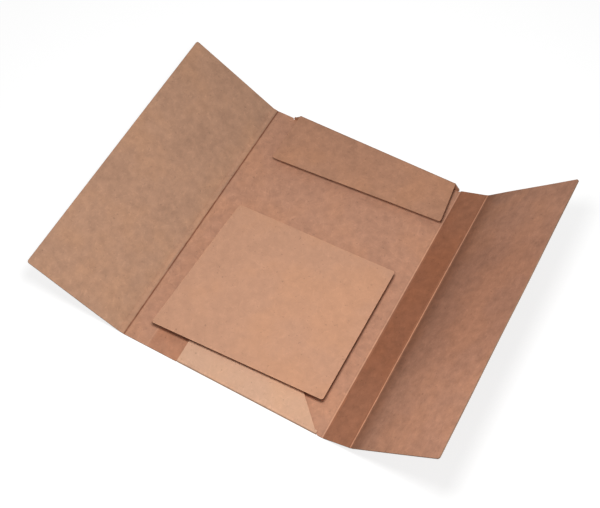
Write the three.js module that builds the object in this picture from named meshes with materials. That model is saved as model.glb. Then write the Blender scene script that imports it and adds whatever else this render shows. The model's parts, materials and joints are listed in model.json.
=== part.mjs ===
// Wraparound mailer, shown open on a table. Millimetres, +Z up.
// One die-cut sheet of kraft board makes the base, the two wrap panels, the narrow spine between
// base and right panel, and a holding flap along each long edge of the base.
// The origin is the middle of the underside of the base. +X runs along the row of wrap panels
// towards the spine, and +Y runs from the front edge to the back edge.

import * as THREE from 'three';

// Board and the four panels of the wrap
const BOARD_THICKNESS = 1.3;
const WRAP_WIDTH = 250;
const BASE_LENGTH = 180;
const LEFT_PANEL_LENGTH = 95;
const SPINE_LENGTH = 26;
const RIGHT_PANEL_LENGTH = 96;
const CORNER_RADIUS = 2;

// How far each panel of the wrap stands open, in degrees from the panel before it. The left
// panel has two score lines side by side, so it rises in two steps.
const LEFT_PANEL_FIRST_RISE = 16;
const LEFT_PANEL_SECOND_RISE = 17.7;
const SPINE_RISE = 24.5;
const RIGHT_PANEL_RISE = 24;

// Creases: the board is pressed thin along each score line, and the cut between two panels
// stays open by the fold gap so that they can turn
const FOLD_GAP = 0.3;
const SCORE_HALF_WIDTH = 0.9;
const SCORE_DEPTH = 0.22;
const SECOND_SCORE_OFFSET = 5;

// Room for the contents between the base and the underside of the holding flaps
const CONTENTS_HEIGHT = 7.5;
const BEND_RADIUS = 0.5;
const BEND_STEPS = 6;

// Back holding flap: a low wall with slanted ends, and a top panel with an askew free edge.
// The margins are taken from the ends of the base.
const BACK_ROOT_LEFT_MARGIN = 17;
const BACK_ROOT_RIGHT_MARGIN = 1.2;
const BACK_SHOULDER_LEFT_MARGIN = 23.5;
const BACK_SHOULDER_RIGHT_MARGIN = 5.3;
const BACK_FREE_LEFT_MARGIN = 23;
const BACK_FREE_RIGHT_MARGIN = 1.2;
const BACK_DEPTH_LEFT = 51;
const BACK_DEPTH_RIGHT = 41;

// Space between the two holding flaps, where the contents show
const WINDOW_LEFT = 55;
const WINDOW_RIGHT = 60.5;

// Front holding flap: a neck that is folded in from the front edge and lies low over the base,
// then rises to a glue flange under the top panel
const NECK_ROOT_LEFT_MARGIN = 50;
const NECK_ROOT_RIGHT_MARGIN = 5.4;
const NECK_SETBACK = 0.6;
const NECK_SLOPE = 4;
const NECK_LENGTH = 28;
const NECK_SIDE_SLANT = 45;
const RISER_SLOPE = 62;
const GLUE_FLANGE_LENGTH = 16;
const FRONT_PANEL_SETBACK_LEFT = 16.6;
const FRONT_PANEL_SETBACK_RIGHT = 23.6;
const FRONT_PANEL_FRONT_LEFT_MARGIN = 17;
const FRONT_PANEL_BACK_LEFT_MARGIN = 23;
const FRONT_PANEL_FRONT_RIGHT_MARGIN = 12.5;
const FRONT_PANEL_BACK_RIGHT_MARGIN = 13;

// Nicks that free the ends of a flap's root from the edge of the base
const ROOT_NICK = 1.2;
const CORNER_STEPS = 5;

const HALF_LENGTH = BASE_LENGTH / 2;
const HALF_WIDTH = WRAP_WIDTH / 2;
const HALF_BOARD = BOARD_THICKNESS / 2;
const radians = THREE.MathUtils.degToRad;

const kraft = (color) => new THREE.MeshStandardMaterial({ color, roughness: 0.9, metalness: 0 });
const innerFaceKraft = 0xb98b6b;
const wrapKraft = 0xb48a6c;
const flapKraft = 0xc29a78;
const neckKraft = 0xd2ac8c;

// A route is the line that the middle of the board follows through its folds, seen from the end
// of the creases: u is the way that the board runs and v is up. Runs are straight, and turns are
// arcs round the inner bend radius. place(s) gives the point at the distance s along the board.
function makeRoute(start, headingDegrees, moves) {
  const bendMiddleRadius = BEND_RADIUS + HALF_BOARD;
  const pieces = [];
  let point = new THREE.Vector2(start[0], start[1]);
  let heading = radians(headingDegrees);
  let length = 0;
  for (const move of moves) {
    const turn = move.turn === undefined ? 0 : radians(move.turn);
    const span = turn === 0 ? move.run : Math.abs(turn) * bendMiddleRadius;
    pieces.push({ from: length, span, point: point.clone(), heading, turn });
    point = pointOnPiece(pieces.at(-1), span, bendMiddleRadius);
    heading += turn;
    length += span;
  }
  const place = (s) => {
    const piece = pieces.findLast((p) => s >= p.from) ?? pieces[0];
    const along = s - piece.from;
    const direction = piece.heading + (piece.turn === 0 ? 0 : (piece.turn * along) / piece.span);
    return { point: pointOnPiece(piece, along, bendMiddleRadius), direction };
  };
  const bendStations = pieces
    .filter((piece) => piece.turn !== 0)
    .flatMap((piece) => fractions(BEND_STEPS).map((f) => piece.from + f * piece.span));
  return { place, bendStations, length };
}

function pointOnPiece(piece, along, bendMiddleRadius) {
  const { point, heading, turn } = piece;
  if (turn === 0) {
    return new THREE.Vector2(
      point.x + along * Math.cos(heading),
      point.y + along * Math.sin(heading),
    );
  }
  const side = Math.sign(turn);
  const direction = heading + (side * along) / bendMiddleRadius;
  return new THREE.Vector2(
    point.x + side * bendMiddleRadius * (Math.sin(direction) - Math.sin(heading)),
    point.y - side * bendMiddleRadius * (Math.cos(direction) - Math.cos(heading)),
  );
}

function fractions(steps) {
  return Array.from({ length: steps + 1 }, (_, i) => i / steps);
}

// A station is one line straight or askew across the flat blank, from its low side to its high
// side: s is the distance along the board at each side, w is the place across it, and press is
// how far the score line pushes each face in.
function station(s, w, press = 0) {
  const sides = Array.isArray(s) ? s : [s, s];
  return { s: sides, w, press };
}

// The free end of a panel with its two corners rounded
function roundedEnd(s, w) {
  const [low, high] = Array.isArray(s) ? s : [s, s];
  return fractions(CORNER_STEPS).map((f) => {
    const angle = (f * Math.PI) / 2;
    const back = CORNER_RADIUS * (1 - Math.sin(angle));
    const inset = CORNER_RADIUS * (1 - Math.cos(angle));
    return station([low - back, high - back], [w[0] + inset, w[1] - inset]);
  });
}

// A score line within a panel is three stations: full board, pressed board, full board
function scoreLine(s, w) {
  return [
    station(s - SCORE_HALF_WIDTH, w),
    station(s, w, SCORE_DEPTH),
    station(s + SCORE_HALF_WIDTH, w),
  ];
}

// The near end of a panel, pressed thin at its crease
function creasedStart(w) {
  const near = FOLD_GAP / 2;
  return [station(near, w, SCORE_DEPTH), station(near + SCORE_HALF_WIDTH, w)];
}

// Lofts the board through its stations along the route. Stations are added at every step of
// every bend, with the cut sides carried on in a straight line over the fold.
function foldBoard(route, stations, toSpace) {
  const rings = [];
  stations.forEach((here, i) => {
    rings.push(here);
    const next = stations[i + 1];
    if (!next) return;
    for (const s of route.bendStations) {
      if (s <= here.s[0] || s >= next.s[0]) continue;
      const f = (s - here.s[0]) / (next.s[0] - here.s[0]);
      const between = (from, to) => from + f * (to - from);
      const across = [0, 1].map((side) => between(here.w[side], next.w[side]));
      rings.push(station(s, across, between(here.press, next.press)));
    }
  });
  const corners = rings.flatMap((ring) => {
    const face = HALF_BOARD - ring.press;
    return [[0, -face], [1, -face], [1, face], [0, face]].map(([side, height]) => {
      const { point, direction } = route.place(ring.s[side]);
      const u = point.x - height * Math.sin(direction);
      const v = point.y + height * Math.cos(direction);
      return toSpace(u, v, ring.w[side]);
    });
  });
  const faces = [];
  const quad = (a, b, c, d) => faces.push(a, b, c, a, c, d);
  const last = 4 * (rings.length - 1);
  quad(3, 2, 1, 0);
  quad(last, last + 1, last + 2, last + 3);
  for (let ring = 0; ring < last; ring += 4) {
    for (let corner = 0; corner < 4; corner += 1) {
      const next = (corner + 1) % 4;
      quad(ring + corner, ring + next, ring + 4 + next, ring + 4 + corner);
    }
  }
  return facesOut(corners, faces);
}

// Turns every face round if the loft came out inside out, and gives the faces flat normals
function facesOut(corners, faces) {
  let volume = 0;
  for (let i = 0; i < faces.length; i += 3) {
    const [a, b, c] = [corners[faces[i]], corners[faces[i + 1]], corners[faces[i + 2]]];
    volume += a.dot(new THREE.Vector3().crossVectors(b, c));
  }
  const geometry = new THREE.BufferGeometry().setFromPoints(corners);
  geometry.setIndex(volume > 0 ? faces : faces.toReversed());
  const flat = geometry.toNonIndexed();
  flat.computeVertexNormals();
  return flat;
}

const alongX = (u, v, w) => new THREE.Vector3(u, w, v);
const alongY = (u, v, w) => new THREE.Vector3(w, u, v);

function sheet(name, geometry, color) {
  const mesh = new THREE.Mesh(geometry, kraft(color));
  mesh.name = name;
  return mesh;
}

const fullWidth = [-HALF_WIDTH, HALF_WIDTH];

// The base lies on the table. Its front and back edges step in behind each flap's root.
function makeBase() {
  const left = -HALF_LENGTH + FOLD_GAP / 2;
  const right = HALF_LENGTH - FOLD_GAP / 2;
  const backRoot = [-HALF_LENGTH + BACK_ROOT_LEFT_MARGIN, HALF_LENGTH - BACK_ROOT_RIGHT_MARGIN];
  const neckRoot = [-HALF_LENGTH + NECK_ROOT_LEFT_MARGIN, HALF_LENGTH - NECK_ROOT_RIGHT_MARGIN];
  const backEdge = (x) => HALF_WIDTH - step(x, backRoot, BOARD_THICKNESS + FOLD_GAP / 2);
  const frontEdge = (x) => -HALF_WIDTH + step(x, neckRoot, NECK_SETBACK + FOLD_GAP / 2);
  const pressAt = (x) => (x === left || x === right ? SCORE_DEPTH : 0);
  const places = [
    left, left + SCORE_HALF_WIDTH, right - SCORE_HALF_WIDTH, right,
    ...[...backRoot, ...neckRoot].flatMap((x) => [x - ROOT_NICK, x, x + ROOT_NICK]),
  ];
  const inside = places.filter((x) => x >= left && x <= right);
  const ordered = [...new Set(inside)].sort((a, b) => a - b);
  const stations = ordered.map((x) => station(x, [frontEdge(x), backEdge(x)], pressAt(x)));
  const route = makeRoute([0, HALF_BOARD], 0, [{ run: right }]);
  return sheet('base_panel', foldBoard(route, stations, alongX), innerFaceKraft);
}

// How far an edge steps in at x: nothing outside the root, all of it inside, and a slanted
// nick at each end
function step(x, [from, to], depth) {
  const inside = Math.min(x - from, to - x);
  return depth * THREE.MathUtils.clamp(1 + inside / ROOT_NICK, 0, 1);
}

// The panels of the wrap hang on their creases. The crease line is the group's origin and lies
// on the inner face of the board, so a panel turns without biting into its neighbour.

// The left panel bends once more at its second score line
function makeLeftPanel() {
  const bendRun = radians(LEFT_PANEL_SECOND_RISE) * (BEND_RADIUS + HALF_BOARD);
  const toBend = SECOND_SCORE_OFFSET - bendRun / 2;
  const route = makeRoute([0, -HALF_BOARD], 0, [
    { run: toBend },
    { turn: LEFT_PANEL_SECOND_RISE },
    { run: LEFT_PANEL_LENGTH - toBend - bendRun },
  ]);
  const stations = [
    ...creasedStart(fullWidth),
    ...scoreLine(SECOND_SCORE_OFFSET, fullWidth),
    ...roundedEnd(LEFT_PANEL_LENGTH, fullWidth),
  ];
  const toSpace = (u, v, w) => alongX(-u, v, w);
  return sheet('left_wrap_panel', foldBoard(route, stations, toSpace), wrapKraft);
}

// The spine has a crease along both of its sides
function makeSpine() {
  const far = SPINE_LENGTH - FOLD_GAP / 2;
  const route = makeRoute([0, -HALF_BOARD], 0, [{ run: SPINE_LENGTH }]);
  const stations = [
    ...creasedStart(fullWidth),
    station(far - SCORE_HALF_WIDTH, fullWidth),
    station(far, fullWidth, SCORE_DEPTH),
  ];
  return sheet('spine_panel', foldBoard(route, stations, alongX), innerFaceKraft);
}

function makeRightPanel() {
  const route = makeRoute([0, -HALF_BOARD], 0, [{ run: RIGHT_PANEL_LENGTH }]);
  const stations = [...creasedStart(fullWidth), ...roundedEnd(RIGHT_PANEL_LENGTH, fullWidth)];
  return sheet('right_wrap_panel', foldBoard(route, stations, alongX), wrapKraft);
}

// The back flap stands up from the back edge of the base and folds over level
function makeBackFlap() {
  const bendMiddleRadius = BEND_RADIUS + HALF_BOARD;
  const wallRun = CONTENTS_HEIGHT + HALF_BOARD - bendMiddleRadius - FOLD_GAP / 2;
  const quarterArc = (Math.PI / 2) * bendMiddleRadius;
  const depthAtBend = HALF_BOARD + bendMiddleRadius;
  const topStart = wallRun + quarterArc;
  const reach = [BACK_DEPTH_LEFT, BACK_DEPTH_RIGHT].map((depth) => topStart + depth - depthAtBend);
  const route = makeRoute([HALF_BOARD, FOLD_GAP / 2], 90, [
    { run: wallRun },
    { turn: 90 },
    { run: Math.max(...reach) - topStart },
  ]);
  const root = [-HALF_LENGTH + BACK_ROOT_LEFT_MARGIN, HALF_LENGTH - BACK_ROOT_RIGHT_MARGIN];
  const shoulder = [
    -HALF_LENGTH + BACK_SHOULDER_LEFT_MARGIN,
    HALF_LENGTH - BACK_SHOULDER_RIGHT_MARGIN,
  ];
  const free = [-HALF_LENGTH + BACK_FREE_LEFT_MARGIN, HALF_LENGTH - BACK_FREE_RIGHT_MARGIN];
  const stations = [
    station(0, root, SCORE_DEPTH),
    station(SCORE_HALF_WIDTH, root),
    station(wallRun, shoulder),
    station(topStart, shoulder),
    ...roundedEnd(reach, free),
  ];
  return sheet('back_flap', foldBoard(route, stations, alongY), flapKraft);
}

// The neck of the front flap: low over the base, then up to the glue flange
function makeFrontNeck() {
  const bendMiddleRadius = BEND_RADIUS + HALF_BOARD;
  const startHeight = FOLD_GAP / 2 + HALF_BOARD;
  const flangeHeight = CONTENTS_HEIGHT - HALF_BOARD - FOLD_GAP / 2;
  const slope = radians(NECK_SLOPE);
  const riser = radians(RISER_SLOPE);
  const lowRise = NECK_LENGTH * Math.sin(slope);
  const bendRise = bendMiddleRadius * (Math.cos(slope) + 1 - 2 * Math.cos(riser));
  const riserRun = (flangeHeight - startHeight - lowRise - bendRise) / Math.sin(riser);
  const route = makeRoute([0, startHeight], NECK_SLOPE, [
    { run: NECK_LENGTH },
    { turn: RISER_SLOPE - NECK_SLOPE },
    { run: riserRun },
    { turn: -RISER_SLOPE },
    { run: GLUE_FLANGE_LENGTH },
  ]);
  const left = -HALF_LENGTH + NECK_ROOT_LEFT_MARGIN;
  const right = HALF_LENGTH - NECK_ROOT_RIGHT_MARGIN;
  const rightInner = right - NECK_LENGTH * Math.tan(radians(NECK_SIDE_SLANT));
  const stations = [
    station(0, [left, right], SCORE_DEPTH),
    station(SCORE_HALF_WIDTH, [left, right - SCORE_HALF_WIDTH]),
    station(NECK_LENGTH, [left, rightInner]),
    ...roundedEnd(route.length, [left, rightInner]),
  ];
  return sheet('front_flap_neck', foldBoard(route, stations, alongY), neckKraft);
}

// The top panel of the front flap, glued flat on the flange of the neck
function makeFrontPanel() {
  const back = [
    WRAP_WIDTH - BACK_DEPTH_LEFT - WINDOW_LEFT,
    WRAP_WIDTH - BACK_DEPTH_RIGHT - WINDOW_RIGHT,
  ].map((distance) => distance - NECK_SETBACK);
  const front = [FRONT_PANEL_SETBACK_LEFT, FRONT_PANEL_SETBACK_RIGHT].map(
    (distance) => distance - NECK_SETBACK,
  );
  const frontSides = [
    -HALF_LENGTH + FRONT_PANEL_FRONT_LEFT_MARGIN,
    HALF_LENGTH - FRONT_PANEL_FRONT_RIGHT_MARGIN,
  ];
  const backSides = [
    -HALF_LENGTH + FRONT_PANEL_BACK_LEFT_MARGIN,
    HALF_LENGTH - FRONT_PANEL_BACK_RIGHT_MARGIN,
  ];
  const undersideHeight = CONTENTS_HEIGHT - FOLD_GAP / 2;
  const route = makeRoute([0, undersideHeight + HALF_BOARD], 0, [{ run: Math.max(...back) }]);
  const roundedFront = roundedEnd(front.map((s) => -s), frontSides)
    .reverse()
    .map((ring) => station(ring.s.map((s) => -s), ring.w));
  const stations = [...roundedFront, ...roundedEnd(back, backSides)];
  return sheet('front_flap_panel', foldBoard(route, stations, alongY), flapKraft);
}

// Each turning panel hangs in a group at its crease
function atCrease(x, y, z, ...parts) {
  const group = new THREE.Group();
  group.position.set(x, y, z);
  group.add(...parts);
  return group;
}

const mailer = new THREE.Group();
mailer.add(makeBase());

const leftPanel = atCrease(-HALF_LENGTH, 0, BOARD_THICKNESS, makeLeftPanel());
leftPanel.rotation.y = radians(LEFT_PANEL_FIRST_RISE);
mailer.add(leftPanel);

const rightPanel = atCrease(SPINE_LENGTH, 0, 0, makeRightPanel());
rightPanel.rotation.y = -radians(RIGHT_PANEL_RISE);
const spine = atCrease(HALF_LENGTH, 0, BOARD_THICKNESS, makeSpine(), rightPanel);
spine.rotation.y = -radians(SPINE_RISE);
mailer.add(spine);

const backFlap = makeBackFlap();
backFlap.position.set(0, HALF_WIDTH - BOARD_THICKNESS, BOARD_THICKNESS);
mailer.add(backFlap);

mailer.add(atCrease(
  0, -HALF_WIDTH + NECK_SETBACK, BOARD_THICKNESS + FOLD_GAP / 2,
  makeFrontNeck(),
  makeFrontPanel(),
));

export default mailer;
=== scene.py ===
# %% [markdown]
# A mailer of kraft board, dressed for its portrait
# The real thing is one die-cut sheet of unbleached board, creased and folded: a base, two long
# wrap panels, a narrow spine, and a holding flap at the back and at the front. The imported model
# gives every panel at its true size and place. This script adds what the eye reads as board: cut edges
# that are slightly worn, creases that bend as one skin, panels that aren't dead flat, and pulp
# with its blotches and fibres. It also paints some light and shade into the board's colour: panel
# tones, highlights on cut edges and crease beads, and shade beside creases and across the spine
# and the right panel. Everything is in metres, in the frame of the imported model.

# %% Load the imported model
import json
import math

import bmesh
import bpy
from mathutils import Matrix, Vector, noise


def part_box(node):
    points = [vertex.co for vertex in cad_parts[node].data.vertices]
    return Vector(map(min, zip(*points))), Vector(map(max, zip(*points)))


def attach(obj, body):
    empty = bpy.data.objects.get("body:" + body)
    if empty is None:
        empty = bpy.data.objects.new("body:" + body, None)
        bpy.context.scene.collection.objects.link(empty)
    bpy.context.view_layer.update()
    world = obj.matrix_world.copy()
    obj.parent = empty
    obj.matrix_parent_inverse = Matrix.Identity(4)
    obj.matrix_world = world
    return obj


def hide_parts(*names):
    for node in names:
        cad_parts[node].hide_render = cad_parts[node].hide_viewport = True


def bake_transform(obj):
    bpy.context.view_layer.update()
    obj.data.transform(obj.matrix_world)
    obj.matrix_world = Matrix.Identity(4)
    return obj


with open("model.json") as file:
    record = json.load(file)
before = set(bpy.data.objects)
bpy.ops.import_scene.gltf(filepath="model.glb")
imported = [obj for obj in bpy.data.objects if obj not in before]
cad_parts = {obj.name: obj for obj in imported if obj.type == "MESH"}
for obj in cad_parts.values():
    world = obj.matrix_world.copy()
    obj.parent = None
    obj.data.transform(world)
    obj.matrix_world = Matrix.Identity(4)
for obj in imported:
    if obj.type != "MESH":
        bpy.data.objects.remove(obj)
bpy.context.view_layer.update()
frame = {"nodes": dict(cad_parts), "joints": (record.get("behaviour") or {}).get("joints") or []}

joints = {joint["name"]: joint for joint in frame["joints"]}
print("panels:", ", ".join(sorted(frame["nodes"])))
print("folds:", ", ".join(sorted(joints)))

# %% [markdown]
# The camera stands where the photographer stood: in front of the mailer and to its right, well
# above it. A view is easiest to keep as four plain facts, namely the point looked at, the way
# round, the height above the horizon and the distance. The lens then sets how much is in frame,
# and a small roll sets the horizon. Placing the camera by those facts, and not by a matrix,
# leaves numbers that a person can change.

# %% Camera
LOOK_AT = Vector((-0.0018, 0.0061, 0.0))
VIEW_AZIMUTH = math.radians(30.97)
VIEW_ELEVATION = math.radians(61.11)
VIEW_DISTANCE = 0.8343
VIEW_ROLL = math.radians(-2.27)
LENS_MM = 60.16


def make_camera():
    level = math.cos(VIEW_ELEVATION)
    back = Vector((
        math.sin(VIEW_AZIMUTH) * level,
        -math.cos(VIEW_AZIMUTH) * level,
        math.sin(VIEW_ELEVATION),
    ))
    camera = bpy.data.objects.new("camera", bpy.data.cameras.new("camera"))
    camera.data.lens = LENS_MM
    camera.data.sensor_width = 36
    camera.location = LOOK_AT + VIEW_DISTANCE * back
    camera.rotation_mode = "QUATERNION"
    turn = Matrix.Rotation(VIEW_ROLL, 4, back) @ back.to_track_quat("Z", "Y").to_matrix().to_4x4()
    camera.rotation_quaternion = turn.to_quaternion()
    bpy.context.scene.collection.objects.link(camera)
    bpy.context.scene.camera = camera
    return camera


camera = make_camera()
print("camera at", [round(c, 4) for c in camera.location])

# %% [markdown]
# Node trees are wiring. A few short helpers keep that wiring readable: one adds a node and sets
# its values by name, one does arithmetic, and one joins sockets. Without them each material
# would be a page of links, and nobody would see what it mixes.

# %% Helpers for node trees


def add_node(tree, kind, **values):
    """A new node. Values whose name is a socket go to that socket, and the rest to the node."""
    node = tree.nodes.new(kind)
    for name, value in values.items():
        socket = name.replace("_", " ")
        if socket in node.inputs:
            node.inputs[socket].default_value = value
        else:
            setattr(node, name, value)
    return node


def plug(tree, source, target):
    """Sets an input to another node's output, or to a plain number or colour."""
    if isinstance(source, (int, float, tuple)):
        target.default_value = source
    else:
        tree.links.new(source, target)


def sum_up(tree, operation, first, second, limit=False):
    node = add_node(tree, "ShaderNodeMath", operation=operation, use_clamp=limit)
    plug(tree, first, node.inputs[0])
    plug(tree, second, node.inputs[1])
    return node.outputs[0]


def mix_colors(tree, share, first, second, how="MIX"):
    node = add_node(tree, "ShaderNodeMix", data_type="RGBA", blend_type=how)
    node.clamp_factor = True
    plug(tree, share, node.inputs[0])
    plug(tree, first, node.inputs[6])
    plug(tree, second, node.inputs[7])
    return node.outputs[2]


def spread(tree, value, low, high, to_low=0.0, to_high=1.0):
    """Stretches a mask so that low becomes to_low and high becomes to_high, with soft ends."""
    node = add_node(
        tree, "ShaderNodeMapRange", interpolation_type="SMOOTHSTEP",
        From_Min=low, From_Max=high, To_Min=to_low, To_Max=to_high,
    )
    tree.links.new(value, node.inputs["Value"])
    return node.outputs["Result"]


def new_group(name, inputs, outputs):
    """A shader node group with named sockets, and its input and output nodes."""
    group = bpy.data.node_groups.new(name, "ShaderNodeTree")
    for socket, kind, value in inputs:
        made = group.interface.new_socket(socket, in_out="INPUT", socket_type=kind)
        made.default_value = value
    for socket, kind in outputs:
        group.interface.new_socket(socket, in_out="OUTPUT", socket_type=kind)
    return group, group.nodes.new("NodeGroupInput"), group.nodes.new("NodeGroupOutput")


def linear(red, green, blue):
    """A colour as a picture editor shows it, 0 to 255, turned into the light that it stands for."""
    shares = [channel / 255 for channel in (red, green, blue)]
    light = [c / 12.92 if c <= 0.04045 else ((c + 0.055) / 1.055) ** 2.4 for c in shares]
    return (*light, 1.0)


print("a mid kraft tone in light:", [round(c, 3) for c in linear(185, 140, 112)])

# %% [markdown]
# The floor is a plain white sheet and the light is soft, so that the colours of the board come
# out as they are written. A white room could be had by turning the lamps up, but that would
# bleach the board. Here the floor and the world are simply shown white to the camera, and the
# floor keeps a share of real light in what it shows, so the shadow of the mailer stays.

# %% Floor and world
FLOOR_SIZE = 6.0
FLOOR_GREY = 0.62
FLOOR_OWN_LIGHT = 0.80
FLOOR_LIT_SHARE = 0.36
WORLD_STRENGTH = 0.26


def seen_plainly(tree):
    """1 for rays from the camera, and for those seen in gloss or through glass."""
    rays = add_node(tree, "ShaderNodeLightPath")
    glossy = sum_up(tree, "MAXIMUM", rays.outputs["Is Camera Ray"], rays.outputs["Is Glossy Ray"])
    return sum_up(tree, "MAXIMUM", glossy, rays.outputs["Is Transmission Ray"])


def floor_material():
    material = bpy.data.materials.new("white_floor")
    material.use_nodes = True
    tree = material.node_tree
    tree.nodes.clear()
    lit = add_node(tree, "ShaderNodeBsdfDiffuse", Color=(*[FLOOR_LIT_SHARE] * 3, 1))
    own = add_node(tree, "ShaderNodeEmission", Strength=FLOOR_OWN_LIGHT)
    bounced = add_node(tree, "ShaderNodeBsdfDiffuse", Color=(*[FLOOR_GREY] * 3, 1))
    shown = add_node(tree, "ShaderNodeAddShader")
    chosen = add_node(tree, "ShaderNodeMixShader")
    output = add_node(tree, "ShaderNodeOutputMaterial")
    tree.links.new(lit.outputs[0], shown.inputs[0])
    tree.links.new(own.outputs[0], shown.inputs[1])
    tree.links.new(seen_plainly(tree), chosen.inputs[0])
    tree.links.new(bounced.outputs[0], chosen.inputs[1])
    tree.links.new(shown.outputs[0], chosen.inputs[2])
    tree.links.new(chosen.outputs[0], output.inputs[0])
    return material


def make_floor():
    sheet = bmesh.new()
    bmesh.ops.create_grid(sheet, x_segments=1, y_segments=1, size=FLOOR_SIZE / 2)
    mesh = bpy.data.meshes.new("floor")
    sheet.to_mesh(mesh)
    sheet.free()
    mesh.materials.append(floor_material())
    floor = bpy.data.objects.new("floor", mesh)
    bpy.context.scene.collection.objects.link(floor)


def make_world():
    world = bpy.data.worlds.new("white_room")
    world.use_nodes = True
    tree = world.node_tree
    tree.nodes.clear()
    fill = add_node(tree, "ShaderNodeBackground", Color=(1, 1, 1, 1), Strength=WORLD_STRENGTH)
    white = add_node(tree, "ShaderNodeBackground", Color=(1, 1, 1, 1), Strength=1.0)
    chosen = add_node(tree, "ShaderNodeMixShader")
    output = add_node(tree, "ShaderNodeOutputWorld")
    tree.links.new(seen_plainly(tree), chosen.inputs[0])
    tree.links.new(fill.outputs[0], chosen.inputs[1])
    tree.links.new(white.outputs[0], chosen.inputs[2])
    tree.links.new(chosen.outputs[0], output.inputs[0])
    bpy.context.scene.world = world


make_floor()
make_world()
bpy.context.scene.view_settings.view_transform = "Standard"
print("floor:", FLOOR_SIZE, "m across")

# %% [markdown]
# The photo is lit by one soft source high above the front edge, a little right of the middle:
# the front flap is the brightest, and the spine and the right panel, which lean left, are the
# darkest. A large far lamp would light all of it evenly. A disk lamp quite close by gives both
# the soft shadow edges and the fall-off from front to back that the photo has. The world fills
# the shadows from all round.

# %% Lamp
KEY_AT = Vector((0.07, -0.13, 0.50))
KEY_SIZE = 0.14
KEY_WATTS = 1.94


def make_key_lamp():
    lamp = bpy.data.objects.new("key_lamp", bpy.data.lights.new("key_lamp", "AREA"))
    lamp.data.shape = "DISK"
    lamp.data.size = KEY_SIZE
    lamp.data.energy = KEY_WATTS
    lamp.location = KEY_AT
    lamp.rotation_mode = "QUATERNION"
    lamp.rotation_quaternion = KEY_AT.to_track_quat("Z", "Y")
    lamp.visible_camera = False
    bpy.context.scene.collection.objects.link(lamp)


make_key_lamp()
print("key lamp:", KEY_WATTS, "W")

# %% [markdown]
# Kraft pulp, close up, is never one colour. Slow clouds come from the way the fibres settled,
# blotches of a few millimetres from thicker and thinner places, and short light and dark fibres
# lie in every direction. A picture of board would do this too, but it would repeat and blur.
# The group below adds noise at each of those scales, a fine grain and a few dark flecks, and
# every board material in the mailer uses it with its own tone. It also gives the height of the
# same fibres, so light and relief agree.
#
# A noise is written as how many there are to a metre, how many finer layers it has, and how
# strong those are. Limits are the two values between which a mask goes from nothing to full.

# %% Node group: kraft pulp
CLOUDS = (26, 3, 0.5)
BLOTCHES = (150, 3, 0.55)
GRAIN = (1300, 2, 0.6)
FLECKS = (430, 1, 0.5)
FLECK_LIMITS = (0.21, 0.27)
FIBRE_ANGLES = (17, 71, 128)
FIBRE_ALONG_PER_METRE = 150
FIBRE_ACROSS_PER_METRE = 520
LIGHT_FIBRE_LIMITS = (0.58, 0.80)
DARK_FIBRE_LIMITS = (0.60, 0.82)
DARK_FIBRE_TURN = 40
DARK_FIBRE_WEIGHT = -0.8
GRAIN_WEIGHT = 0.10
FLECK_WEIGHT = -0.20
WARM_LIMITS = (0.42, 0.66)
WARM_MOST = 0.35
WARM_TINT = (1.0, 0.93, 0.80, 1)
BLOTCH_HEIGHT = 0.6
FIBRE_HEIGHT = 0.35
GRAIN_HEIGHT = 0.5
ROUGHNESS = 0.86
ROUGHNESS_VARIES = 0.2


def centred_noise(tree, place, scale, detail, roughness):
    """Smooth noise round zero, from about -0.5 to 0.5."""
    node = add_node(tree, "ShaderNodeTexNoise", Scale=scale, Detail=detail, Roughness=roughness)
    tree.links.new(place, node.inputs["Vector"])
    return sum_up(tree, "SUBTRACT", node.outputs["Fac"], 0.5)


def fibre_mask(tree, place, angle, limits):
    """Short streaks that lie along one direction of the sheet."""
    turned = add_node(tree, "ShaderNodeMapping")
    turned.inputs["Rotation"].default_value = (0, 0, math.radians(angle))
    tree.links.new(place, turned.inputs["Vector"])
    stretched = add_node(tree, "ShaderNodeMapping")
    stretched.inputs["Scale"].default_value = (
        FIBRE_ALONG_PER_METRE, FIBRE_ACROSS_PER_METRE, FIBRE_ACROSS_PER_METRE,
    )
    tree.links.new(turned.outputs[0], stretched.inputs["Vector"])
    node = add_node(tree, "ShaderNodeTexNoise", Scale=1.0, Detail=1.5, Roughness=0.45)
    tree.links.new(stretched.outputs[0], node.inputs["Vector"])
    return spread(tree, node.outputs["Fac"], *limits)


def add_up(tree, parts):
    """The sum of several masks, each with its own weight."""
    total = None
    for value, weight in parts:
        part = sum_up(tree, "MULTIPLY", value, weight)
        total = part if total is None else sum_up(tree, "ADD", total, part)
    return total


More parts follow.
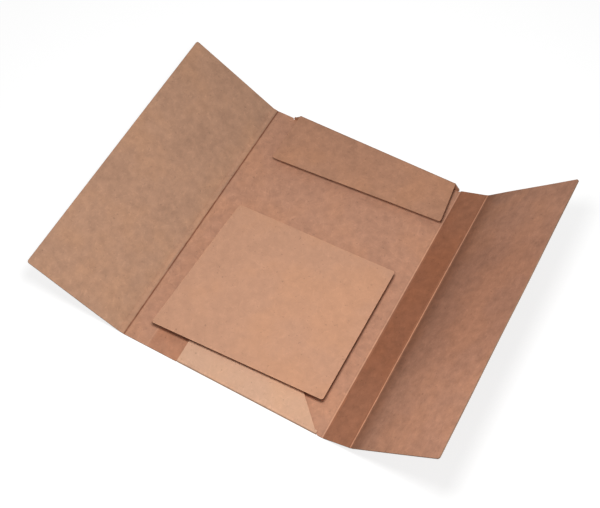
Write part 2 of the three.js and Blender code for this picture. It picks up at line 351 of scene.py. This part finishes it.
def make_pulp_group():
    group, entry, result = new_group(
        "kraft_pulp",
        [
            ("Place", "NodeSocketVector", (0, 0, 0)),
            ("Tone", "NodeSocketColor", (0.5, 0.3, 0.2, 1)),
            ("Clouds", "NodeSocketFloat", 0.25),
            ("Blotches", "NodeSocketFloat", 0.30),
            ("Fibres", "NodeSocketFloat", 0.12),
        ],
        [
            ("Color", "NodeSocketColor"),
            ("Height", "NodeSocketFloat"),
            ("Roughness", "NodeSocketFloat"),
        ],
    )
    place = entry.outputs["Place"]
    clouds = centred_noise(group, place, *CLOUDS)
    blotches = centred_noise(group, place, *BLOTCHES)
    grain = centred_noise(group, place, *GRAIN)
    strands = [(fibre_mask(group, place, angle, LIGHT_FIBRE_LIMITS), 1.0) for angle in FIBRE_ANGLES]
    for angle in FIBRE_ANGLES:
        dark = fibre_mask(group, place, angle + DARK_FIBRE_TURN, DARK_FIBRE_LIMITS)
        strands.append((dark, DARK_FIBRE_WEIGHT))
    fibres = add_up(group, strands)
    flecks = spread(group, centred_noise(group, place, *FLECKS), *FLECK_LIMITS)
    value = add_up(group, [
        (clouds, entry.outputs["Clouds"]),
        (blotches, entry.outputs["Blotches"]),
        (fibres, entry.outputs["Fibres"]),
        (grain, GRAIN_WEIGHT),
        (flecks, FLECK_WEIGHT),
    ])
    brightness = sum_up(group, "ADD", value, 1.0)
    grey = add_node(group, "ShaderNodeCombineColor")
    for channel in grey.inputs:
        group.links.new(brightness, channel)
    shaded = mix_colors(group, 1.0, entry.outputs["Tone"], grey.outputs[0], "MULTIPLY")
    warm = spread(group, sum_up(group, "ADD", clouds, 0.5), *WARM_LIMITS, 0.0, WARM_MOST)
    tinted = mix_colors(group, warm, shaded, WARM_TINT, "MULTIPLY")
    group.links.new(tinted, result.inputs["Color"])
    height = add_up(group, [(blotches, BLOTCH_HEIGHT), (fibres, FIBRE_HEIGHT), (grain, GRAIN_HEIGHT)])
    group.links.new(height, result.inputs["Height"])
    uneven = sum_up(group, "MULTIPLY", blotches, ROUGHNESS_VARIES)
    roughness = sum_up(group, "ADD", ROUGHNESS, uneven)
    group.links.new(roughness, result.inputs["Roughness"])
    return group


pulp_group = make_pulp_group()
print("group kraft_pulp:", len(pulp_group.nodes), "nodes")

# %% [markdown]
# Every board material is that pulp with a tone of its own, and wear and painted light on top. The
# rim of a panel is a little paler, partly where hands have rubbed it and partly as a painted
# highlight along the cut edge. A crease is a line where the rule pressed the fibres together:
# dark at the bottom of a groove, from the pressed fibres and from painted shade, with a painted
# highlight on a raised bead, and a tint of its own on the shoulders beside it, which on the long
# creases is painted shade. The line wanders and fades, so it isn't ruled. Both kinds of mark
# follow the piece and not the room, so they read an attribute that the mesh carries: rim is 1
# along a cut edge, and fold counts millimetres from the crease. A tint multiplies the tone under
# it, so below 1 it darkens and above 1 it makes paler.

# %% Node groups: rim and crease marks, with painted light
# The rim tint is partly wear and partly a painted highlight along the cut edges.
RIM_WEAR_AND_HIGHLIGHT = (1.12, 1.10, 1.06, 1)
RIM_PATCHES = (220, 2, 0.6)
RIM_PATCH_LIMITS = (0.35, 0.62)
CREASE_WANDER = (90, 3, 0.6)
CREASE_WANDER_MM = 0.7
CREASE_PATCHES = (160, 2, 0.5)
CREASE_PATCH_SPAN = 1.1
CREASE_PATCH_MEAN = 0.95
LINE_MM = (0.25, 0.95)
SHOULDER_MM = (0.9, 2.1)
LINE_HEIGHT = -0.4


def make_rim_group():
    group, entry, result = new_group(
        "rim_wear_and_highlight",
        [
            ("Color", "NodeSocketColor", (0.5, 0.3, 0.2, 1)),
            ("Place", "NodeSocketVector", (0, 0, 0)),
            ("Rim", "NodeSocketFloat", 0.0),
            ("Amount", "NodeSocketFloat", 0.5),
        ],
        [("Color", "NodeSocketColor")],
    )
    patches = centred_noise(group, entry.outputs["Place"], *RIM_PATCHES)
    broken = spread(group, sum_up(group, "ADD", patches, 0.5), *RIM_PATCH_LIMITS)
    share = sum_up(group, "MULTIPLY", entry.outputs["Rim"], broken)
    share = sum_up(group, "MULTIPLY", share, entry.outputs["Amount"])
    wear_and_painted_light = mix_colors(group, share, entry.outputs["Color"], RIM_WEAR_AND_HIGHLIGHT, "MULTIPLY")
    group.links.new(wear_and_painted_light, result.inputs["Color"])
    return group


def make_crease_group():
    group, entry, result = new_group(
        "crease_wear_and_painted_light",
        [
            ("Color", "NodeSocketColor", (0.5, 0.3, 0.2, 1)),
            ("Place", "NodeSocketVector", (0, 0, 0)),
            ("Millimetres", "NodeSocketFloat", 0.0),
            ("Line", "NodeSocketFloat", 0.6),
            ("Line Tone", "NodeSocketColor", (0.5, 0.4, 0.35, 1)),
            ("Shoulders", "NodeSocketFloat", 0.4),
            ("Shoulder Tone", "NodeSocketColor", (1.25, 1.2, 1.15, 1)),
        ],
        [("Color", "NodeSocketColor"), ("Height", "NodeSocketFloat")],
    )
    wander = centred_noise(group, entry.outputs["Place"], *CREASE_WANDER)
    wander = sum_up(group, "MULTIPLY", wander, CREASE_WANDER_MM)
    away = sum_up(group, "ADD", entry.outputs["Millimetres"], wander)
    away = sum_up(group, "ABSOLUTE", away, 0)
    uneven = centred_noise(group, entry.outputs["Place"], *CREASE_PATCHES)
    uneven = sum_up(group, "MULTIPLY", uneven, CREASE_PATCH_SPAN)
    uneven = sum_up(group, "ADD", uneven, CREASE_PATCH_MEAN, True)
    line = spread(group, away, *LINE_MM, 1.0, 0.0)
    shoulder = spread(group, away, *SHOULDER_MM, 1.0, 0.0)
    shoulder = sum_up(group, "SUBTRACT", shoulder, line, True)
    on_line = sum_up(group, "MULTIPLY", line, entry.outputs["Line"])
    on_line = sum_up(group, "MULTIPLY", on_line, uneven)
    beside = sum_up(group, "MULTIPLY", shoulder, entry.outputs["Shoulders"])
    beside = sum_up(group, "MULTIPLY", beside, uneven)
    color = entry.outputs["Color"]
    color = mix_colors(group, beside, color, entry.outputs["Shoulder Tone"], "MULTIPLY")
    color = mix_colors(group, on_line, color, entry.outputs["Line Tone"], "MULTIPLY")
    group.links.new(color, result.inputs["Color"])
    group.links.new(sum_up(group, "MULTIPLY", line, LINE_HEIGHT), result.inputs["Height"])
    return group


rim_group = make_rim_group()
crease_group = make_crease_group()
print("groups:", rim_group.name, crease_group.name)

# %% [markdown]
# A finish is then one call: a name, a tone, and how strong each effect is. The Principled shader
# stays in the material, with a plain low gloss, because board is matt but not chalk. A strip
# that lies across a crease starts in the tone of one panel and ends in that of the other. Where
# a panel is lighter or darker on one side, or has a soft dark patch, because of how light falls,
# a ramp or a box paints that light or shade into its colour; one pale box on the base is a
# crease mark instead.

# %% Board finishes
BUMP_METRES = 0.00018
BUMP_STRENGTH = 0.55
GLOSS = 0.22
FAR_TONE_MM = (0.2, 0.9)


def use_group(tree, group, **links):
    node = add_node(tree, "ShaderNodeGroup", node_tree=group)
    for name, value in links.items():
        plug(tree, value, node.inputs[name.replace("_", " ")])
    return node


def attribute(tree, name):
    return add_node(tree, "ShaderNodeAttribute", attribute_name=name).outputs["Fac"]


def toned_along(tree, place, color, light_and_shade_ramps):
    """Tints a colour by how far a point lies from a line on the piece.

    Each ramp has its start, its direction, its reach and its tint.
    """
    for start, way, reach, tint in light_and_shade_ramps:
        from_start = add_node(tree, "ShaderNodeVectorMath", operation="SUBTRACT")
        from_start.inputs[1].default_value = start
        tree.links.new(place, from_start.inputs[0])
        along = add_node(tree, "ShaderNodeVectorMath", operation="DOT_PRODUCT")
        along.inputs[1].default_value = way
        tree.links.new(from_start.outputs[0], along.inputs[0])
        share = spread(tree, along.outputs["Value"], 0.0, reach, 1.0, 0.0)
        color = mix_colors(tree, share, color, (*tint, 1), "MULTIPLY")
    return color


def soft_box(tree, place, low, high, soft):
    """1 inside a box, given by its limits across and along the sheet, with a soft border."""
    parts = add_node(tree, "ShaderNodeSeparateXYZ")
    tree.links.new(place, parts.inputs[0])
    spans = []
    for axis in range(2):
        rise = spread(tree, parts.outputs[axis], low[axis] - soft, low[axis] + soft)
        drop = spread(tree, parts.outputs[axis], high[axis] - soft, high[axis] + soft, 1.0, 0.0)
        spans.append(sum_up(tree, "MULTIPLY", rise, drop))
    return sum_up(tree, "MULTIPLY", *spans)


def shaded_and_marked(tree, place, color, shade_and_marks):
    """Tints a colour inside soft boxes: lower and upper limits, soft border and tint."""
    for low, high, soft, tint in shade_and_marks:
        share = soft_box(tree, place, low, high, soft)
        color = mix_colors(tree, share, color, (*tint, 1), "MULTIPLY")
    return color


def board_finish(
    name, tone, clouds=0.34, blotches=0.52, fibres=0.10, rim=0.5, shift=(0, 0, 0),
    crease=None, far_tone=None, light_and_shade_ramps=(), shade_and_marks=(),
):
    """A board material. A crease, with its far tone, takes the place of the rim's wear and painted
    highlight.
    """
    material = bpy.data.materials.new(name)
    material.use_nodes = True
    tree = material.node_tree
    shader = tree.nodes["Principled BSDF"]
    coordinates = add_node(tree, "ShaderNodeTexCoord")
    placed = add_node(tree, "ShaderNodeMapping")
    placed.inputs["Location"].default_value = shift
    tree.links.new(coordinates.outputs["Object"], placed.inputs["Vector"])
    place = placed.outputs[0]
    if far_tone:
        beyond = spread(tree, attribute(tree, "fold"), *FAR_TONE_MM)
        tone = mix_colors(tree, beyond, tone, far_tone)
    pulp = use_group(
        tree, pulp_group, Place=place, Tone=tone, Clouds=clouds, Blotches=blotches, Fibres=fibres,
    )
    common = {"Place": place, "Color": pulp.outputs["Color"]}
    height = pulp.outputs["Height"]
    if crease:
        fold = attribute(tree, "fold")
        wear_and_painted_light = use_group(tree, crease_group, Millimetres=fold, **common, **crease)
        height = sum_up(tree, "ADD", height, wear_and_painted_light.outputs["Height"])
    else:
        wear_and_painted_light = use_group(tree, rim_group, Rim=attribute(tree, "rim"), Amount=rim, **common)
    color = toned_along(tree, coordinates.outputs["Object"], wear_and_painted_light.outputs["Color"], light_and_shade_ramps)
    color = shaded_and_marked(tree, coordinates.outputs["Object"], color, shade_and_marks)
    relief = add_node(tree, "ShaderNodeBump", Strength=BUMP_STRENGTH, Distance=BUMP_METRES)
    tree.links.new(height, relief.inputs["Height"])
    tree.links.new(relief.outputs[0], shader.inputs["Normal"])
    tree.links.new(color, shader.inputs["Base Color"])
    tree.links.new(pulp.outputs["Roughness"], shader.inputs["Roughness"])
    shader.inputs["Specular IOR Level"].default_value = GLOSS
    return material


# The board is one sheet, so these tones differ mostly as painted light: the spine, right and back tones
# are darker as painted shade, and the front and neck tones are lighter as painted light from the lamp
# above the front edge.
BASE_TONE = linear(191, 142, 116)
LEFT_TONE = linear(184, 143, 117)
SHADED_SPINE_TONE = linear(157, 105, 79)
SHADED_RIGHT_TONE = linear(176, 129, 105)
SHADED_BACK_TONE = linear(183, 135, 108)
LIT_FRONT_TONE = linear(199, 151, 123)
LIT_NECK_TONE = linear(213, 170, 142)
EDGE_TONE = linear(170, 132, 108)
# The front flap's cut edge is darker as painted shade of the dark gap under that edge.
SHADED_EDGE_TONE = linear(112, 80, 62)



def hinge_at(joint):
    return Vector(joints[joint]["pos_m"])


RIGHT_RISE = math.radians(48.5)
# Painted shade on the right panel: darkest along its fold with the spine, with a milder darkening that
# reaches further up the panel.
RIGHT_PAINTED_SHADE = [
    (hinge_at("right_wrap_fold"), (math.cos(RIGHT_RISE), 0, math.sin(RIGHT_RISE)), reach, tint)
    for reach, tint in ((0.020, (0.66, 0.58, 0.53)), (0.060, (0.84, 0.84, 0.84)))
]
# Painted shadows: soft darker patches across the middle of the right panel and the spine, as the shadow
# of the contents the mailer holds.
RIGHT_PAINTED_SHADOW = [((0.100, -0.050), (0.210, 0.075), 0.032, (0.86, 0.83, 0.82))]
SPINE_PAINTED_SHADOW = [((0.050, -0.070), (0.150, 0.078), 0.030, (0.86, 0.80, 0.76))]

# Painted light: the left panel is a little paler for 8 mm beside its crease, where the flatter strip
# catches more light.
LEFT_PAINTED_LIGHT = [(hinge_at("left_wrap_fold"), (-1, 0, 0), 0.008, (1.08, 1.02, 1.01))]
# On the base: a patch of painted shade beside the neck and under the front flap's edge, and a thin pale
# crease mark next to it.
BASE_SHADE_AND_CREASE_MARK = [
    ((-0.0675, -0.130), (-0.0400, -0.095), 0.0012, (0.93, 0.85, 0.80)),
    ((-0.0690, -0.130), (-0.0680, -0.104), 0.0006, (1.10, 1.10, 1.08)),
]

base_finish = board_finish("kraft_base", BASE_TONE, shade_and_marks=BASE_SHADE_AND_CREASE_MARK)
left_finish = board_finish("kraft_left_wrap", LEFT_TONE, shift=(0.31, 0, 0), light_and_shade_ramps=LEFT_PAINTED_LIGHT)
spine_finish = board_finish(
    "kraft_spine", SHADED_SPINE_TONE, clouds=0.42, blotches=0.6, shift=(0, 0.23, 0), shade_and_marks=SPINE_PAINTED_SHADOW,
)
right_finish = board_finish(
    "kraft_right_wrap", SHADED_RIGHT_TONE, clouds=0.42, blotches=0.62, shift=(0.17, 0.4, 0),
    light_and_shade_ramps=RIGHT_PAINTED_SHADE, shade_and_marks=RIGHT_PAINTED_SHADOW,
)
back_finish = board_finish("kraft_back_flap", SHADED_BACK_TONE, shift=(0, 0.7, 0.1))
front_finish = board_finish(
    "kraft_front_top", LIT_FRONT_TONE, clouds=0.22, blotches=0.26, fibres=0.06, rim=1.0,
)
neck_finish = board_finish("kraft_neck", LIT_NECK_TONE, clouds=0.16, blotches=0.18, fibres=0.08)
CUT_PULP = {"clouds": 0.1, "blotches": 0.5, "fibres": 0.3, "rim": 0.0}
edge_finish = board_finish("kraft_cut_edge", EDGE_TONE, **CUT_PULP)
# The second cut-edge finish carries that painted shade.
shaded_edge_finish = board_finish("kraft_shaded_edge", SHADED_EDGE_TONE, **CUT_PULP)
print("finishes:", len(bpy.data.materials) - 1)

# %% [markdown]
# Each panel starts as a copy of its imported solid, so that its outline is exactly the real one.
# Three things turn a solid into board: the cut edges are eased, because a die crushes the corner
# of the sheet, a narrow rim band is marked for wear and a painted highlight, and the faces are cut
# into a grid and loosened by a fraction of a millimetre, because a sheet that has been folded is
# never flat.
# A cloth simulation could do the last, but board keeps its length, and smooth noise is enough.

# %% Board from a packed panel
MILLIMETRE = 0.001
WELD = 0.00001
EDGE_EASE = 0.00016
RIM_WIDTH = 0.0009
EASE_ROWS = 2
GRID_STEP = 0.007
FLAT_ANGLE = math.radians(0.5)
SAME_SIDE_ANGLE = math.radians(62)
SHARP_ANGLE = math.radians(38)


def merged_copy(node):
    board = bmesh.new()
    board.from_mesh(frame["nodes"][node].data)
    bmesh.ops.remove_doubles(board, verts=board.verts, dist=WELD)
    bmesh.ops.dissolve_limit(board, angle_limit=FLAT_ANGLE, verts=board.verts, edges=board.edges)
    return board


def one_side(first):
    """The faces that one could stroke without crossing a cut edge, from a first face on."""
    side = {first}
    waiting = [first]
    while waiting:
        face = waiting.pop()
        for edge in face.edges:
            if edge.calc_face_angle(math.pi) > SAME_SIDE_ANGLE:
                continue
            for other in edge.link_faces:
                if other not in side:
                    side.add(other)
                    waiting.append(other)
    return side


def two_sides(board):
    """The two broad sides of a sheet: the one with the largest face, and the one behind it."""
    front = one_side(max(board.faces, key=lambda face: face.calc_area()))
    rest = [face for face in board.faces if face not in front]
    behind = one_side(max(rest, key=lambda face: face.calc_area()))
    return front, behind


def mark_rims(board):
    """Sets material 1 on the cut edges, and gives both sides a rim band that carries 1 at the cut."""
    rim = board.verts.layers.float.new("rim")
    front, behind = two_sides(board)
    for face in board.faces:
        face.material_index = 0 if face in front or face in behind else 1
    for vertex in board.verts:
        vertex[rim] = 1.0
    for side in (front, behind):
        bmesh.ops.inset_region(
            board, faces=list(side), thickness=RIM_WIDTH, use_boundary=True, use_even_offset=True,
        )
        for face in side:
            for vertex in face.verts:
                vertex[rim] = 0.0


def ease_edges(board):
    cuts = [e for e in board.edges if len({face.material_index for face in e.link_faces}) == 2]
    bmesh.ops.bevel(
        board, geom=cuts, offset=EDGE_EASE, segments=EASE_ROWS, affect="EDGES", profile=0.5, material=-1,
    )


def cut_grid(board):
    """Cuts the faces along a grid, so that they can follow a gentle swell."""
    for way in (Vector((1, 0, 0)), Vector((0, 1, 0))):
        reach = [vertex.co.dot(way) for vertex in board.verts]
        low, high = min(reach), max(reach)
        count = max(1, round((high - low) / GRID_STEP))
        for i in range(1, count):
            at = low + (high - low) * i / count
            everything = board.verts[:] + board.edges[:] + board.faces[:]
            bmesh.ops.bisect_plane(board, geom=everything, dist=WELD, plane_co=way * at, plane_no=way)


def finish_mesh(name, board, materials):
    """The object that a worked board becomes. No point of it may dip into the table."""
    bmesh.ops.triangulate(board, faces=[face for face in board.faces if len(face.verts) > 4])
    for vertex in board.verts:
        vertex.co.z = max(vertex.co.z, 0.0)
    for face in board.faces:
        face.smooth = True
    mesh = bpy.data.meshes.new(name)
    board.to_mesh(mesh)
    board.free()
    mesh.set_sharp_from_angle(angle=SHARP_ANGLE)
    for material in materials:
        mesh.materials.append(material)
    piece = bpy.data.objects.new(name, mesh)
    bpy.context.scene.collection.objects.link(piece)
    even = piece.modifiers.new("even_normals", "WEIGHTED_NORMAL")
    even.keep_sharp = True
    print(name + ":", len(mesh.polygons), "faces")
    return piece


print("rim band:", round(RIM_WIDTH / MILLIMETRE, 2), "mm wide")

# %% [markdown]
# A panel swells most at its free edge and corners and not at all at its crease, where the fold
# holds it. The swell below moves both faces of the sheet together, square to the panel, and
# fades to nothing towards the crease line. Each panel takes its waves from another place in the
# noise, so no two of them bend alike.

# %% Swell of a panel
SWELL_FADE = 0.03
SWELLS_PER_METRE = 11
SEEDS = {"left": 3.1, "right": 7.7, "back": 12.3, "front": 21.9}


def smooth_share(value):
    share = min(max(value, 0.0), 1.0)
    return share * share * (3 - 2 * share)


def swell(board, start, along, up, height, seed):
    """Moves a sheet up and down in slow waves, fading in along the panel from its start."""
    for vertex in board.verts:
        share = smooth_share((vertex.co - start).dot(along) / SWELL_FADE)
        wave = noise.noise(vertex.co * SWELLS_PER_METRE + Vector((seed, 0, 0)))
        vertex.co += up * (height * wave * share)


def direction(angle):
    """Along a panel that rises to the right at an angle, and square to it."""
    along = Vector((math.cos(angle), 0, math.sin(angle)))
    return along, Vector((-math.sin(angle), 0, math.cos(angle)))


def dress(node, name, body, finish, cut_finish, swelling=None):
    """Turns one packed panel into board, which rides on the panel's body and stands for it."""
    board = merged_copy(node)
    mark_rims(board)
    ease_edges(board)
    cut_grid(board)
    if swelling:
        swell(board, *swelling)
    piece = finish_mesh(name, board, [finish, cut_finish])
    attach(piece, body)
    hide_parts(node)


print("swell:", SWELLS_PER_METRE, "waves to a metre")

# %% [markdown]
# The base lies flat on the table and the narrow spine is held by two creases, so they stay
# flat. The two wrap panels are long and free at their ends, and they swell. Each needs to know
# how it lies, and the two rises are the angles at which the panels stand in the photo.

# %% Base, spine and wrap panels
WRAP_SWELL = 0.0009
LEFT_RISE = math.radians(33.7)

dress("base_panel", "base_board", "base", base_finish, edge_finish)
left_along, left_up = direction(-LEFT_RISE)
left_swelling = (hinge_at("left_wrap_fold"), -left_along, left_up, WRAP_SWELL, SEEDS["left"])
dress(
    "left_wrap_panel", "left_wrap_board", "left_wrap", left_finish, edge_finish,
    left_swelling,
)
dress("spine_panel", "spine_board", "spine", spine_finish, edge_finish)
right_along, right_up = direction(RIGHT_RISE)
right_swelling = (hinge_at("right_wrap_fold"), right_along, right_up, WRAP_SWELL, SEEDS["right"])
dress(
    "right_wrap_panel", "right_wrap_board", "right_wrap", right_finish, edge_finish,
    right_swelling,
)

# %% [markdown]
# The two holding flaps come from the same recipe. Only their level top panels swell, so the
# swell starts well behind the wall or the riser that carries them.

# %% Holding flaps
TO_BACK = Vector((0, 1, 0))
UP = Vector((0, 0, 1))
BACK_SWELL = 0.0007
BACK_SWELL_FROM = 0.004
FRONT_SWELL = 0.0006
FRONT_SWELL_FROM = 0.05

back_start = hinge_at("back_flap_fold") - BACK_SWELL_FROM * TO_BACK
dress(
    "back_flap", "back_flap_board", "back_flap", back_finish, edge_finish,
    (back_start, -TO_BACK, UP, BACK_SWELL, SEEDS["back"]),
)
dress("front_flap_neck", "front_neck_board", "front_flap", neck_finish, edge_finish)
front_start = hinge_at("front_flap_fold") + FRONT_SWELL_FROM * TO_BACK
dress(
    "front_flap_panel", "front_top_board", "front_flap", front_finish, shaded_edge_finish,
    (front_start, TO_BACK, UP, FRONT_SWELL, SEEDS["front"]),
)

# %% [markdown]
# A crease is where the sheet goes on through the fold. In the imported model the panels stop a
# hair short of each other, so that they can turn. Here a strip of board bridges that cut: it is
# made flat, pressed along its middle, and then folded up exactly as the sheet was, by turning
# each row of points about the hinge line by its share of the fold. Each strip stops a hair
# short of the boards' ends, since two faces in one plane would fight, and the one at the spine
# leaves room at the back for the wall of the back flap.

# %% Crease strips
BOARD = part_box("base_panel")[1].z
CREASE_REACH = 0.0023
CREASE_BEND = 0.0011
CREASE_PROUD = 0.00003
CREASE_PRESS = 0.00024
CREASE_BEAD = 0.00034
CREASE_SUNK = 3 * CREASE_PROUD
SUNK_FROM = 0.8
CREASE_ROWS = 20
CREASE_STEP = 0.006


def flat_strip(length, gap):
    """A strip of board, flat, with x across the crease, y along it, and its inner face at -gap."""
    strip = bmesh.new()
    steps = max(2, round(length / CREASE_STEP))
    bmesh.ops.create_grid(strip, x_segments=CREASE_ROWS, y_segments=steps, size=0.5)
    bmesh.ops.scale(strip, vec=(2 * CREASE_REACH, length, 1), verts=strip.verts)
    top = strip.faces[:]
    bmesh.ops.translate(strip, vec=(0, 0, CREASE_PROUD - gap), verts=strip.verts)
    made = bmesh.ops.extrude_face_region(strip, geom=top)
    lower = [item for item in made["geom"] if isinstance(item, bmesh.types.BMVert)]
    bmesh.ops.translate(strip, vec=(0, 0, -BOARD - 2 * CREASE_PROUD), verts=lower)
    bmesh.ops.recalc_face_normals(strip, faces=strip.faces)
    return strip, set(lower)


def press_middle(strip, lower, bead):
    """The rule leaves a groove outside, and inside a groove or a bead. Its sides dip into the board."""
    for vertex in strip.verts:
        away = abs(vertex.co.x)
        middle = 1 - smooth_share(away / CREASE_BEND)
        outward = (away / CREASE_REACH - SUNK_FROM) / (1 - SUNK_FROM)
        sunk = CREASE_SUNK * smooth_share(outward)
        if vertex in lower:
            vertex.co.z += CREASE_PRESS * middle + sunk
        else:
            vertex.co.z += (CREASE_BEAD if bead else -CREASE_PRESS) * middle - sunk


def fold_strip(strip, fold):
    for vertex in strip.verts:
        share = smooth_share((vertex.co.x + CREASE_BEND) / (2 * CREASE_BEND))
        vertex.co = Matrix.Rotation(-fold * share, 3, "Y") @ vertex.co


def make_crease(
    name, joint, away, up, fold, span, finish, bead=False, gap=0.0, squeeze=None,
):
    """A strip from one body to the next, folded at their joint.

    away points from the first body to the second while the sheet is flat, and up is its inner
    side. span gives the strip's two ends along the frame's own axis.
    """
    strip, lower = flat_strip(span[1] - span[0], gap)
    fold_layer = strip.verts.layers.float.new("fold")
    for vertex in strip.verts:
        vertex[fold_layer] = vertex.co.x / MILLIMETRE
    press_middle(strip, lower, bead)
    fold_strip(strip, fold)
    at = hinge_at(joint)
    along = up.cross(away)
    sense = 1 if along.x + along.y > 0 else -1
    middle = at + along * sense * (span[0] + span[1]) / 2
    place = Matrix((away, along, up)).transposed().to_4x4()
    bmesh.ops.transform(strip, matrix=Matrix.Translation(middle) @ place, verts=strip.verts)
    if squeeze is not None:
        for vertex in strip.verts:
            if vertex.co.y < at.y:
                vertex.co.y = at.y + (vertex.co.y - at.y) * squeeze
    piece = finish_mesh(name, strip, [finish])
    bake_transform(piece)


HALF_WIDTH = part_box("base_panel")[1].y
LEFT_FOLD = math.radians(-joints["left_wrap_fold"]["range_deg"][0])
SPINE_FOLD = math.radians(-joints["spine_fold"]["range_deg"][0])
OUTER_FOLD = math.radians(-joints["right_wrap_fold"]["range_deg"][0])
END_SHORT = 0.00005
BACK_FLAP_ROOM = 0.0014
WHOLE_WIDTH = (END_SHORT - HALF_WIDTH, HALF_WIDTH - END_SHORT)
BESIDE_BACK_FLAP = (END_SHORT - HALF_WIDTH, HALF_WIDTH - BACK_FLAP_ROOM)
# Crease line: partly pressed fibres, partly painted shade in the groove and at the fold.
PRESSED_AND_SHADED_LINE = linear(150, 118, 100)
# Shoulders of the long creases: painted shade beside the line.
SOFT_PAINTED_SHADE = (0.80, 0.76, 0.72, 1)
# Pale lines: painted highlights on the beads of the spine and outer creases.
SPINE_RIDGE_HIGHLIGHT = (1.36, 1.38, 1.38, 1)
OUTER_RIDGE_HIGHLIGHT = (1.90, 2.15, 2.35, 1)
# Beyond the outer crease: painted shade at the foot of the right panel.
SHADED_RIGHT_FOLD_TONE = linear(146, 102, 80)
SOFT_PALE = (1.15, 1.13, 1.10, 1)

left_crease_finish = board_finish("kraft_left_crease", BASE_TONE, far_tone=LEFT_TONE, crease={
    "Line": 0.8, "Line_Tone": PRESSED_AND_SHADED_LINE, "Shoulders": 0.3, "Shoulder_Tone": SOFT_PAINTED_SHADE,
})
spine_crease_finish = board_finish("kraft_spine_crease", BASE_TONE, far_tone=SHADED_SPINE_TONE, crease={
    "Line": 0.6, "Line_Tone": SPINE_RIDGE_HIGHLIGHT, "Shoulders": 0.3, "Shoulder_Tone": SOFT_PAINTED_SHADE,
})
outer_crease_finish = board_finish("kraft_outer_crease", SHADED_SPINE_TONE, far_tone=SHADED_RIGHT_FOLD_TONE, crease={
    "Line": 0.9, "Line_Tone": OUTER_RIDGE_HIGHLIGHT, "Shoulders": 0.6, "Shoulder_Tone": SOFT_PAINTED_SHADE,
})

TO_RIGHT = Vector((1, 0, 0))
make_crease(
    "left_crease", "left_wrap_fold", -TO_RIGHT, UP, LEFT_FOLD, WHOLE_WIDTH,
    left_crease_finish,
)
make_crease(
    "spine_crease", "spine_fold", TO_RIGHT, UP, SPINE_FOLD, BESIDE_BACK_FLAP,
    spine_crease_finish, bead=True,
)
spine_along, spine_up = direction(SPINE_FOLD)
make_crease(
    "outer_crease", "right_wrap_fold", spine_along, spine_up, OUTER_FOLD,
    WHOLE_WIDTH, outer_crease_finish, bead=True,
)

# %% [markdown]
# The flaps have the same strips. The back wall stands square to the base, on a root that is
# shorter than the edge. The front neck is folded right over the base, so its strip goes round
# almost half a turn and is squeezed at the front, as a hard fold is.

# %% Flap creases
BACK_ROOT = (-0.0725, 0.0883)
BACK_FOLD = math.radians(90)
NECK_FOLD = math.radians(176)
NECK_SQUEEZE = 0.36
NECK_SHORT = 0.0002
neck_low, neck_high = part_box("front_flap_neck")
NECK_ROOT = (neck_low.x + NECK_SHORT, neck_high.x - NECK_SHORT)
back_crease_finish = board_finish("kraft_back_crease", SHADED_BACK_TONE, crease={
    "Line": 0.3, "Line_Tone": PRESSED_AND_SHADED_LINE, "Shoulders": 0.4, "Shoulder_Tone": SOFT_PALE,
})
neck_crease_finish = board_finish("kraft_neck_crease", LIT_NECK_TONE, crease={
    "Line": 0.15, "Line_Tone": PRESSED_AND_SHADED_LINE, "Shoulders": 0.3, "Shoulder_Tone": SOFT_PALE,
})
make_crease(
    "back_flap_crease", "back_flap_fold", TO_BACK, UP, BACK_FOLD, BACK_ROOT,
    back_crease_finish,
)
neck_gap = hinge_at("front_flap_fold").z - BOARD
make_crease(
    "front_neck_crease", "front_flap_fold", -TO_BACK, UP, NECK_FOLD,
    NECK_ROOT, neck_crease_finish, gap=neck_gap, squeeze=NECK_SQUEEZE,
)
